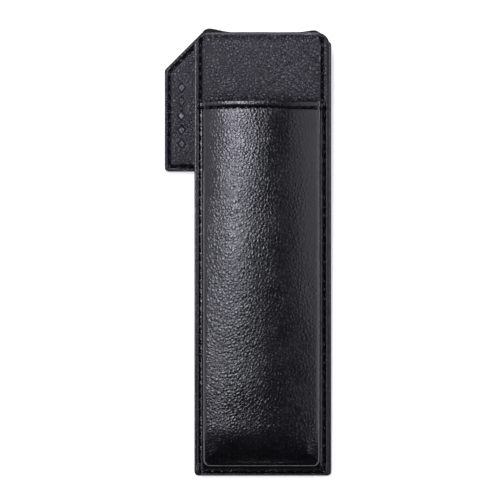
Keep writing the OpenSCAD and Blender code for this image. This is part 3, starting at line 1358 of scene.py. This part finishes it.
    def seam_path(self) -> list[Vector]:
        """The flange's seam, from the mouth's left end down and round to its right end.

        Returns:
            The seam's points.
        """
        height = self.flange_top - self.groove_depth * 0.6
        ring = self.layout.front_outline.points(self.groove_inset, height)
        half = len(ring) // 2
        mouth = self.layout.mouth - 1.2 * MM
        left, right = ring[0].x, ring[half - 1].x
        return [Vector((left, mouth, height)), *ring[:half], Vector((right, mouth, height))]

    def mouth_seam(self) -> list[tuple[Vector, Vector]]:
        """Places of the stitches across the crown.

        Returns:
            The middle and the direction of each stitch.
        """
        y = self.layout.mouth - self.hem_seam
        left, right, _ = self.side(1.0, self.rounding + 0.6 * MM)
        count = round((right - left) / (2.9 * MM))
        found = []
        for k in range(count):
            x = left + (right - left) * (k + 0.5) / count
            ends = [Vector((x + offset, y, 0)) for offset in (0.0, 0.5 * MM)]
            for end in ends:
                end.z = self.crown_height(end, 0.0) - 0.26 * MM
            found.append((ends[0], (ends[1] - ends[0]).normalized()))
        return found

    def make(self, wardrobe: Wardrobe) -> None:
        """Builds and dresses the pocket's pieces.

        Args:
            wardrobe: Dresses the pieces.
        """
        wardrobe.hand_over(self.build_front(), SMOOTH_LEATHER, Body.SLEEVE, ["pocket_front"])
        inside = self.leather + 0.05 * MM
        hem = self.build_inner("turned_hem", inside, 0.8 * MM, (0.15 * MM, 5 * MM))
        wardrobe.hand_over(hem, SMOOTH_LEATHER, Body.SLEEVE, ["mouth_hem"])
        cloth = self.build_inner("pocket_cloth", inside, 0.4 * MM, (5.1 * MM, 200 * MM))
        wardrobe.hand_over(cloth, LINING, Body.SLEEVE, ["pocket_lining"])
        seam = Seam(pitch=2.9 * MM, width=0.45 * MM, height=0.3 * MM)
        stitches = seam.sew("mouth_seam", self.mouth_seam(), UP)
        wardrobe.hand_over(stitches, THREAD, Body.SLEEVE, ["mouth_stitching"])


# ---- Upper panel ----


@dataclass
class UpperPanel:
    """The padded, grained panel above the mouth, with a tongue tucked into the pocket."""

    layout: Layout
    leather: float = 1.1 * MM
    rim_top: float = 6.5 * MM
    pad_top: float = 8.25 * MM
    pad_crown: float = 0.5 * MM
    tongue: float = 8.0 * MM
    tongue_inset: float = 4.4 * MM
    below_mouth: float = 14 * MM
    right_lift: float = 0.17 * MM
    grid: float = 2.6 * MM

    def ring(self, left: float, right: float, high: float, height: float, radius: float) -> list[Vector]:
        """One ring, by its distances inside the front layer's sides.

        Args:
            left: Distance inside the left side.
            right: Distance inside the right side.
            high: Distance below the upper side.
            height: Its height.
            radius: Its upper corners' radius.

        Returns:
            The ring's points.
        """
        low_x, high_x = self.layout.front_left, self.layout.front_right
        low = Vector((low_x + left, self.layout.mouth - self.below_mouth + high))
        top = Vector((high_x - right, self.layout.panel[1].y - high))
        return rectangle(low, top, (MM, MM, radius, radius)).points(0, height)

    def rings(self) -> list[list[Vector]]:
        """The rings of the skin, from its edge to the pad.

        Returns:
            The rings.
        """
        top, pad = self.rim_top / MM, self.pad_top / MM
        steps = (
            (0.0, 0.0, 0.0, top - 0.6, 4.3),
            (0.03, 0.05, 0.05, top - 0.1, 4.3),
            (0.12, 0.25, 0.12, top + 0.05, 4.2),
            (0.42, 1.20, 0.34, top + 0.12, 4.1),
            (0.58, 1.40, 0.46, top, 3.9),
            (0.75, 1.55, 0.58, top - 0.40, 3.8),
            (1.05, 1.85, 0.74, top - 0.60, 3.6),
            (1.55, 2.25, 0.90, top - 0.35, 3.4),
            (1.85, 2.50, 1.10, pad - 0.80, 3.2),
            (2.15, 2.85, 1.40, pad - 0.32, 3.1),
            (2.50, 3.30, 1.80, pad - 0.16, 3.0),
            (4.30, 5.20, 3.40, pad - 0.05, 2.8),
            (6.90, 8.30, 6.00, pad, 2.4),
        )
        return [self.ring(*(value * MM for value in step)) for step in steps]

    def settle(self, spot: Vector) -> Vector:
        """Crowns the pad, flattens the tongue and lets the leather wander a little.

        Args:
            spot: A corner's place.

        Returns:
            Its new place.
        """
        middle = self.layout.pocket_middle
        half = self.layout.pocket[1].x - middle
        across = min(abs(spot.x - middle) / half, 1.0)
        up = (spot.y - self.layout.mouth) / (self.layout.panel[1].y - self.layout.mouth)
        on_pad = ease(self.rim_top, self.pad_top, spot.z)
        crown = self.pad_crown * (1 - across ** 2) * (1 - (2 * min(max(up, 0.0), 1.0) - 1) ** 4)
        spot.z += on_pad * (crown + 0.10 * MM * drift(spot, 11 * MM, 2.0))
        spot.z += (1 - on_pad) * 0.06 * MM * drift(spot, 8 * MM, 4.0)
        edge = min(max((self.layout.panel[1].y - spot.y) / (1.7 * MM), 0.0), 1.0)
        falling = self.rim_top - 0.6 * MM + (self.pad_top - self.rim_top) * math.sin(edge * math.pi / 2)
        at_edge = ease(self.layout.panel[1].y - 3.0 * MM, self.layout.panel[1].y - 1.2 * MM, spot.y)
        spot.z += at_edge * (falling - spot.z)
        right = self.layout.pocket[1].x
        spot.z += self.right_lift * ease(right - 1.95 * MM, right - 0.9 * MM, spot.x)
        tucked = ease(self.layout.mouth + 1.5 * MM, self.layout.mouth - 3.0 * MM, spot.y) * on_pad
        spot.z -= tucked * (self.pad_top - self.rim_top) * 0.8
        return spot

    def build(self) -> bpy.types.Object:
        """Models the panel.

        Returns:
            The leather.
        """
        mouth, middle = self.layout.mouth, self.layout.pocket_middle
        tongue_half = (self.layout.pocket[1].x - self.layout.pocket[0].x) / 2 - self.tongue_inset
        skin = ring_skin("panel_leather", self.rings())
        with Bench(skin) as bench:
            bench.cut_off(Vector((0, mouth - self.tongue, 0)), -ALONG)
            bench.slice(ACROSS, steps_between(middle - tongue_half, middle + tongue_half, self.grid))
            bench.slice(ACROSS, (middle - tongue_half, middle + tongue_half))
            bench.slice(ALONG, steps_between(mouth, self.layout.panel[1].y - 6 * MM, self.grid))
            bench.slice(ALONG, (mouth - 4 * MM, mouth - 1.5 * MM, mouth + 0.12 * MM, mouth + 0.6 * MM))
            bench.pick(Kind.FACES, lambda p: p.y < mouth and abs(p.x - middle) > tongue_half)
            bpy.ops.mesh.delete(type="FACE")
            bench.shape(self.settle)
            bench.turn(up=True)
        thicken(skin, self.leather)
        smooth(skin, 2)
        return skin

    def seam_path(self) -> list[Vector]:
        """The panel's seam, from the mouth's right end up and round to its left end.

        Returns:
            The seam's points.
        """
        ring = self.ring(1.05 * MM, 1.85 * MM, 0.74 * MM, self.rim_top - 0.3 * MM, 3.6 * MM)
        half = len(ring) // 2
        mouth, height = self.layout.mouth + 0.8 * MM, ring[0].z
        right, left = ring[half].x, ring[-1].x
        return [Vector((right, mouth, height)), *ring[half:], Vector((left, mouth, height))]

    def make(self, wardrobe: Wardrobe) -> None:
        """Builds and dresses the panel."""
        panel = wardrobe.hand_over(self.build(), GRAINED_LEATHER, Body.SLEEVE, ["upper_panel"])


# ---- Back ----


@dataclass
class Back:
    """The back's leather, turned up round the front layer."""

    layout: Layout
    leather: float = 0.95 * MM
    seam_inset: float = 2.15 * MM
    groove_depth: float = 0.5 * MM
    drawn_in: float = 1.5 * MM
    rim_limit: float = 2.5 * MM
    rim_drop: float = 1.9 * MM
    grid: float = 4.0 * MM

    def settle(self, spot: Vector) -> Vector:
        """Lets the leather wander, and draws its upper edge back under the fold.

        Args:
            spot: A corner's place.

        Returns:
            Its new place.
        """
        low, high = self.layout.strap
        under = ease(low.x - 0.6 * MM, low.x + 0.4 * MM, spot.x)
        under *= 1 - ease(high.x - 0.4 * MM, high.x + 0.6 * MM, spot.x)
        near = ease(self.layout.back[1].y - 5 * MM, self.layout.back[1].y - 1 * MM, spot.y)
        spot.y -= self.drawn_in * under * near
        spot.z = min(spot.z, self.layout.back[0].z + self.rim_limit - self.rim_drop * under * near)
        spot.z += 0.07 * MM * drift(spot, 16 * MM, 6.0)
        return spot

    def build(self) -> bpy.types.Object:
        """Models the back.

        Returns:
            The leather.
        """
        outline, low = self.layout.back_outline, self.layout.back[0].z
        steps = (
            (1.05, 2.52), (0.55, 2.47), (0.10, 2.41), (0.0, 2.25), (0.0, 0.75), (0.10, 0.3), (0.4, 0.06),
            (1.1, 0.0), (1.75, 0.02), (2.15, 0.5), (2.55, 0.02), (3.4, 0.0), (6.0, 0.0),
        )
        rings = [outline.points(inset * MM, low + rise * MM) for inset, rise in steps]
        skin = ring_skin("back_leather", rings)
        box_low, box_high = self.layout.back
        with Bench(skin) as bench:
            edge = 7 * MM
            for axis, start, end in (
                (ACROSS, box_low.x + edge, box_high.x - edge),
                (ALONG, box_low.y + edge, box_high.y - edge),
            ):
                bench.slice(axis, [start, *steps_between(start, end, self.grid), end])
            bench.shape(self.settle)
            bench.turn(up=False)
        thicken(skin, self.leather)
        smooth(skin, 2)
        return skin

    def seam_path(self) -> list[Vector]:
        """The seam on the back's outer face."""
        height = self.layout.back[0].z + 0.55 * self.groove_depth
        return self.layout.back_outline.points(self.seam_inset, height)

    def make(self, wardrobe: Wardrobe) -> None:
        """Builds and dresses the back."""
        wardrobe.hand_over(self.build(), RUBBED_AND_RIM_LIT_LEATHER, Body.SLEEVE, ["back_cover"])


# ---- Clip flap ----


@dataclass
class ClipFlap:
    """The flap behind the sleeve: outer leather, inner leather with the grip tab, seams."""

    layout: Layout
    outer: float = 0.95 * MM
    inner: float = 0.75 * MM
    seam_inset: float = 1.75 * MM
    grid: float = 3.5 * MM
    lozenges: int = 5
    lozenge_step: float = 5.2 * MM
    lozenge_size: tuple[float, float] = (3.4 * MM, 4.2 * MM)
    lozenge_middle: tuple[float, float] = (6.3 * MM, 20.6 * MM)
    ring_radius: float = 0.42
    press_depth: float = 0.42 * MM
    stroke: float = 0.13

    def sheet_of(self, name: str, steps: Sequence[tuple[float, float]], up: bool) -> bpy.types.Object:
        """A leather sheet with the flap's outline.

        Args:
            name: Its name.
            steps: Inset and height of each ring, in millimetres.
            up: Whether its outer face looks towards the sleeve.

        Returns:
            The skin, one leather thick.
        """
        outline = self.layout.flap_outline
        skin = ring_skin(name, [outline.points(inset * MM, height * MM) for inset, height in steps])
        low, high = self.layout.flap
        with Bench(skin) as bench:
            across = [low.x + 8 * MM, *steps_between(low.x + 16 * MM, high.x - 7 * MM, self.grid)]
            bench.slice(ACROSS, across)
            bench.slice(ALONG, steps_between(low.y + 4 * MM, high.y - 16 * MM, self.grid))
            bench.shape(lambda p: p + Vector((0, 0, 0.05 * MM * drift(p, 12 * MM, 9.0))))
            bench.turn(up=up)
        thicken(skin, self.inner if up else self.outer)
        smooth(skin, 2)
        return skin

    def build_outer(self) -> bpy.types.Object:
        """Models the outer leather, which looks away from the sleeve.

        Returns:
            The leather.
        """
        steps = (
            (0.12, 1.2), (0.0, 0.95), (0.0, 0.45), (0.12, 0.16), (0.45, 0.02), (1.2, 0.0),
            (1.35, 0.02), (1.75, 0.48), (2.15, 0.02), (3.3, 0.0), (5.5, 0.0),
        )
        return self.sheet_of("flap_outer", steps, up=False)

    def build_inner(self) -> bpy.types.Object:
        """Models the inner leather with its raised rim, seam channel and plateau.

        Returns:
            The leather.
        """
        steps = (
            (0.10, 1.2), (0.0, 1.45), (0.02, 2.0), (0.10, 2.14), (0.55, 2.18), (1.0, 2.22), (1.15, 2.1),
            (1.4, 1.65), (1.75, 1.5), (2.05, 1.7), (2.3, 2.3), (2.7, 2.55), (4.2, 2.6),
        )
        skin = self.sheet_of("flap_inner", steps, up=True)
        cutter = self.lozenge_cutter()
        apply_modifier(skin, "BOOLEAN", operation="DIFFERENCE", solver="EXACT", object=cutter)
        bpy.data.objects.remove(cutter)
        make_active(skin)
        bpy.ops.object.shade_smooth_by_angle(angle=math.radians(40))
        return skin

    def lozenge_cutter(self) -> bpy.types.Object:
        """The five lozenges that are pressed into the grip tab.

        Returns:
            The dies, joined into one object.
        """
        pressed = []
        right, up = self.lozenge_middle
        middle = Vector((self.layout.flap[0].x + right, self.layout.flap[0].y + up))
        for k in range(self.lozenges):
            die = start_piece(
                "lozenge_die", bpy.ops.mesh.primitive_torus_add,
                major_segments=4, minor_segments=8, major_radius=self.ring_radius, minor_radius=self.stroke,
            )
            place = middle + Vector((0, (k - (self.lozenges - 1) / 2) * self.lozenge_step))
            top = self.layout.flap[1].z
            with Bench(die) as bench:
                bench.shape(lambda p: self.as_die(p, place, top))
                bench.turn_out()
            pressed.append(die)
        return join(pressed, "lozenge_dies")

    def as_die(self, spot: Vector, middle: Vector, top: float) -> Vector:
        """Turns a four-cornered unit ring's corner into a lozenge-shaped die's corner.

        Args:
            spot: A corner's place.
            middle: The lozenge's middle.
            top: Height of the leather's top.

        Returns:
            Its place on the die.
        """
        wide, long = self.lozenge_size
        depth = self.press_depth * spot.z / self.stroke
        return Vector((middle.x + spot.x * wide, middle.y + spot.y * long, top + depth))

    def make(self, wardrobe: Wardrobe) -> None:
        """Builds and dresses the flap.

        Args:
            wardrobe: Dresses the pieces.
        """
        wardrobe.hand_over(self.build_outer(), SMOOTH_LEATHER, Body.FLAP, ["flap_outer_leather"])
        wardrobe.hand_over(self.build_inner(), GRAINED_LEATHER, Body.FLAP, ["flap_inner_leather"])
        outline, seam = self.layout.flap_outline, Seam()
        inside = seam.places(outline.points(self.seam_inset, 1.75 * MM), closed=True)
        outside = seam.places(outline.points(self.seam_inset, 0.25 * MM), closed=True)
        both = [seam.sew("flap_seam", inside, UP), seam.sew("flap_seam_outer", outside, -UP)]
        wardrobe.hand_over(join(both, "flap_seams"), THREAD, Body.FLAP, ["flap_stitching"])


# ---- Fold ----


@dataclass
class Fold:
    """The leather fold that joins the sleeve's top to the flap, in two halves."""

    layout: Layout
    outer: float = 0.65 * MM
    inner: float = 0.45 * MM
    back_crease: float = 4.4 * MM
    flap_crease: float = 1.3 * MM
    spread: tuple[float, float] = (1.5 * MM, 1.6 * MM)
    left_reach: float = 3.4 * MM
    middle_reach: float = 2.0 * MM
    right_reach: float = 2.75 * MM
    top_rise: float = 0.42 * MM
    low_drop: float = 0.45 * MM
    waver: float = 0.05 * MM
    short_side: float = 0.3 * MM
    long_side: float = 0.4 * MM
    columns: int = 40

    @property
    def ends(self) -> tuple[float, float]:
        """Where the fold ends along X: it runs out into the cut corners."""
        low, high = self.layout.strap
        return low.x - self.spread[0], high.x + self.spread[1]

    @property
    def half_way(self) -> float:
        """Height half way between the creases."""
        return (self.back_crease + self.flap_crease) / 2

    def reach(self, x: float) -> float:
        """How far the fold stands out at a place across the sleeve.

        Args:
            x: Place along X.

        Returns:
            The distance along Y.
        """
        low, high = self.ends
        left = 1 - ease(low + 2.2 * MM, low + 11 * MM, x)
        right = ease(high - 8 * MM, high - 1.5 * MM, x)
        reach = self.middle_reach + (self.left_reach - self.middle_reach) * left
        reach += (self.right_reach - self.middle_reach) * right
        return min(reach, 1.9 * MM + (x - low), 1.6 * MM + 0.9 * (high - x))

    def profile(self, inside: float) -> list[tuple[float, float]]:
        """The bend seen from the side: share of the reach, and height.

        Args:
            inside: How far the line lies inside the outer face.

        Returns:
            The points, from the sleeve's end round to the flap's end.
        """
        top, low = self.back_crease + self.top_rise - inside, self.flap_crease - self.low_drop + inside
        middle, half = (top + low) / 2, (top - low) / 2
        found = [(-0.2, top), (0.25, top)]
        for step in range(1, 12):
            angle = math.pi * step / 12
            found.append((0.25 + 0.75 * math.sin(angle) ** 0.35, middle + half * math.cos(angle)))
        return [*found, (0.25, low), (-0.2, low)]

    def build_half(self, name: str, inside: float, thickness: float, upper: bool) -> bpy.types.Object:
        """Models one layer of one half of the fold.

        Args:
            name: The layer's name.
            inside: How far it lies inside the outer face.
            thickness: The layer's thickness.
            upper: Whether it is the half at the sleeve.

        Returns:
            The piece, with no parent.
        """
        low, high = self.ends[0] + inside / 2, self.ends[1] - inside / 2
        base = self.layout.case[1].y - self.left_reach
        line = self.profile(inside)
        skin = start_piece(
            name, bpy.ops.mesh.primitive_grid_add,
            x_subdivisions=self.columns, y_subdivisions=len(line) - 1, size=1.0,
        )

        def bend(spot: Vector) -> Vector:
            """Turns a corner of the flat grid into a corner of the fold.

            Args:
                spot: The corner's place on the unit grid.

            Returns:
                Its place on the fold.
            """
            share, height = line[round((spot.y + 0.5) * (len(line) - 1))]
            x = low + (high - low) * (spot.x + 0.5)
            reach = self.reach(x) - inside
            uneven = self.waver * drift(Vector((x, 0, height)), 5 * MM)
            return Vector((x, base + share * reach + uneven, height))

        with Bench(skin) as bench:
            bench.shape(bend)
            bench.face_away(Vector((0, base, self.half_way)))
            cut = -UP if upper else UP
            bench.cut_off(Vector((0, 0, self.half_way)), cut)
        thicken(skin, thickness)
        smooth(skin, 2)
        return skin

    def hang(self, piece: bpy.types.Object) -> None:
        """Bakes one half's placement into its mesh.

        Args:
            piece: The half of the fold.
        """
        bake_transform(piece)

    def make(self, wardrobe: Wardrobe) -> None:
        """Builds and dresses the fold.

        Args:
            wardrobe: Dresses the pieces.
        """
        for upper, place in ((True, "upper"), (False, "lower")):
            skin = self.build_half(f"fold_skin_{place}", 0.0, self.outer, upper)
            lining = self.build_half(f"fold_lining_{place}", self.outer, self.inner, upper)
            for piece, node in ((skin, "fold_strap"), (lining, "fold_strap_lining")):
                wardrobe.dress(piece, SHADED_FOLD_LEATHER)
                self.hang(piece)
                if upper:
                    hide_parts(node)
                log.info("%s: %d faces across a crease", piece.name, len(piece.data.polygons))


# ---- What the case holds inside ----


@dataclass(frozen=True)
class Inside:
    """The hidden pieces, whose CAD shapes stay and get their finishes."""

    finishes: tuple[tuple[str, Finish], ...] = (
        ("back_stiffener", BOARD),
        ("flap_stiffener", BOARD),
        ("steel_discs", STEEL),
        ("flap_magnets", NICKEL),
        ("back_lining", LINING),
        ("panel_foam", FOAM),
    )

    def make(self, wardrobe: Wardrobe) -> None:
        """Dresses the CAD nodes that stay.

        Args:
            wardrobe: Dresses the pieces.
        """
        for name, finish in self.finishes:
            wardrobe.dress(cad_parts[name], finish)
            log.info("%s: keeps its CAD shape, in %s", name, finish.name)


# ---- Studio ----


@dataclass(frozen=True)
class Softbox:
    """One rectangular light, by its place over the table, in metres."""

    name: str
    place: tuple[float, float, float]
    size: tuple[float, float]
    power: float


@dataclass
class Studio:
    """Pale floor, soft light and the camera straight above."""

    layout: Layout
    distance: float = 1.0
    field: float = 184.35 * MM
    aim: tuple[float, float] = (0.77 * MM, 0.64 * MM)
    world: float = 0.05
    cool: tuple[float, float, float] = (0.88, 0.86, 1.0)
    floor_glow: float = 0.45
    boxes: tuple[Softbox, ...] = (
        Softbox("key", (-0.165, 0.365, 0.85), (0.12, 0.93), 6.6),
        Softbox("left_fill", (-0.62, 0.05, 0.80), (0.62, 0.80), 1.9),
        Softbox("right_fill", (0.36, 0.05, 0.80), (0.24, 0.80), 0.85),
        Softbox("right_glow", (0.74, 0.05, 0.70), (0.45, 0.80), 2.6),
        Softbox("left_wash", (-1.00, 0.20, 0.40), (0.6, 1.0), 3.0),
        Softbox("right_wash", (1.00, 0.20, 0.40), (0.6, 1.0), 2.0),
    )

    def lay_floor(self) -> None:
        """Puts a pale table under the case, which leans on its flap."""
        floor = start_piece("table", bpy.ops.mesh.primitive_plane_add, size=6.0)
        rest, end = self.layout.flap[0], self.layout.back[0]
        slope = (end.z - 0.0) / (rest.y - end.y)
        gap = 0.05 * MM
        with Bench(floor) as bench:
            bench.shape(lambda p: Vector((p.x, p.y, -(p.y - rest.y) * slope - gap)))
        material, _, shader = start_material("pale_table")
        shader.inputs["Base Color"].default_value = (0.93, 0.93, 0.93, 1)
        shader.inputs["Roughness"].default_value = 0.9
        shader.inputs["Specular IOR Level"].default_value = 0.1
        shader.inputs["Emission Color"].default_value = (1, 1, 1, 1)
        shader.inputs["Emission Strength"].default_value = self.floor_glow
        floor.data.materials.append(material)

    def hang_lights(self) -> None:
        """Hangs the softboxes, each turned to the case."""
        for box in self.boxes:
            lamp = bpy.data.lights.new(box.name, "AREA")
            lamp.shape = "RECTANGLE"
            lamp.size, lamp.size_y = box.size
            lamp.energy = box.power
            lamp.color = self.cool
            light = bpy.data.objects.new(box.name, lamp)
            light.location = box.place
            back = Vector(box.place).normalized()
            across = ALONG.cross(back).normalized()
            light.rotation_euler = Matrix((across, back.cross(across), back)).transposed().to_euler()
            bpy.context.scene.collection.objects.link(light)

    def set_world(self) -> None:
        """Gives the room a weak even light."""
        world = bpy.data.worlds.new("room")
        world.use_nodes = True
        background = world.node_tree.nodes["Background"]
        background.inputs["Color"].default_value = (1, 1, 1, 1)
        background.inputs["Strength"].default_value = self.world
        bpy.context.scene.world = world
        bpy.context.scene.view_settings.view_transform = "Standard"

    def place_camera(self) -> None:
        """Puts the camera straight above the case."""
        camera = bpy.data.cameras.new("camera")
        camera.sensor_width = 36.0
        camera.lens = 36.0 * self.distance / self.field
        camera.clip_start, camera.clip_end = 0.01, 20.0
        holder = bpy.data.objects.new("camera", camera)
        middle = (self.layout.case[0] + self.layout.case[1]) / 2
        holder.location = (middle.x + self.aim[0], middle.y + self.aim[1], 4 * MM + self.distance)
        bpy.context.scene.collection.objects.link(holder)
        bpy.context.scene.camera = holder

    def make(self) -> None:
        """Sets the whole studio up."""
        self.place_camera()
        self.lay_floor()
        self.hang_lights()
        self.set_world()


def sew_sleeve(pocket: MouldedPocket, panel: UpperPanel, back: Back, wardrobe: Wardrobe) -> None:
    """Sews the sleeve's front and back seams.

    Args:
        pocket: Gives the flange's seam.
        panel: Gives the panel's seam.
        back: Gives the seam on the back.
        wardrobe: Dresses the thread.
    """
    seam = Seam()
    front = seam.places(pocket.seam_path(), closed=False) + seam.places(panel.seam_path(), closed=False)
    behind = seam.places(back.seam_path(), closed=True)
    both = [seam.sew("front_seam", front, UP), seam.sew("back_seam", behind, -UP)]
    wardrobe.hand_over(join(both, "sleeve_seams"), THREAD, Body.SLEEVE, ["edge_stitching"])


def main() -> None:
    """Builds the case and its studio."""
    logging.basicConfig(level=logging.INFO, format="%(name)s: %(message)s")
    layout = Layout.of_frame()
    wardrobe = Wardrobe()
    pocket, panel, back = MouldedPocket(layout), UpperPanel(layout), Back(layout)
    for assembly in (pocket, panel, back, ClipFlap(layout), Fold(layout), Inside()):
        assembly.make(wardrobe)
    sew_sleeve(pocket, panel, back, wardrobe)
    Studio(layout).make()


if __name__ == "__main__":
    main()
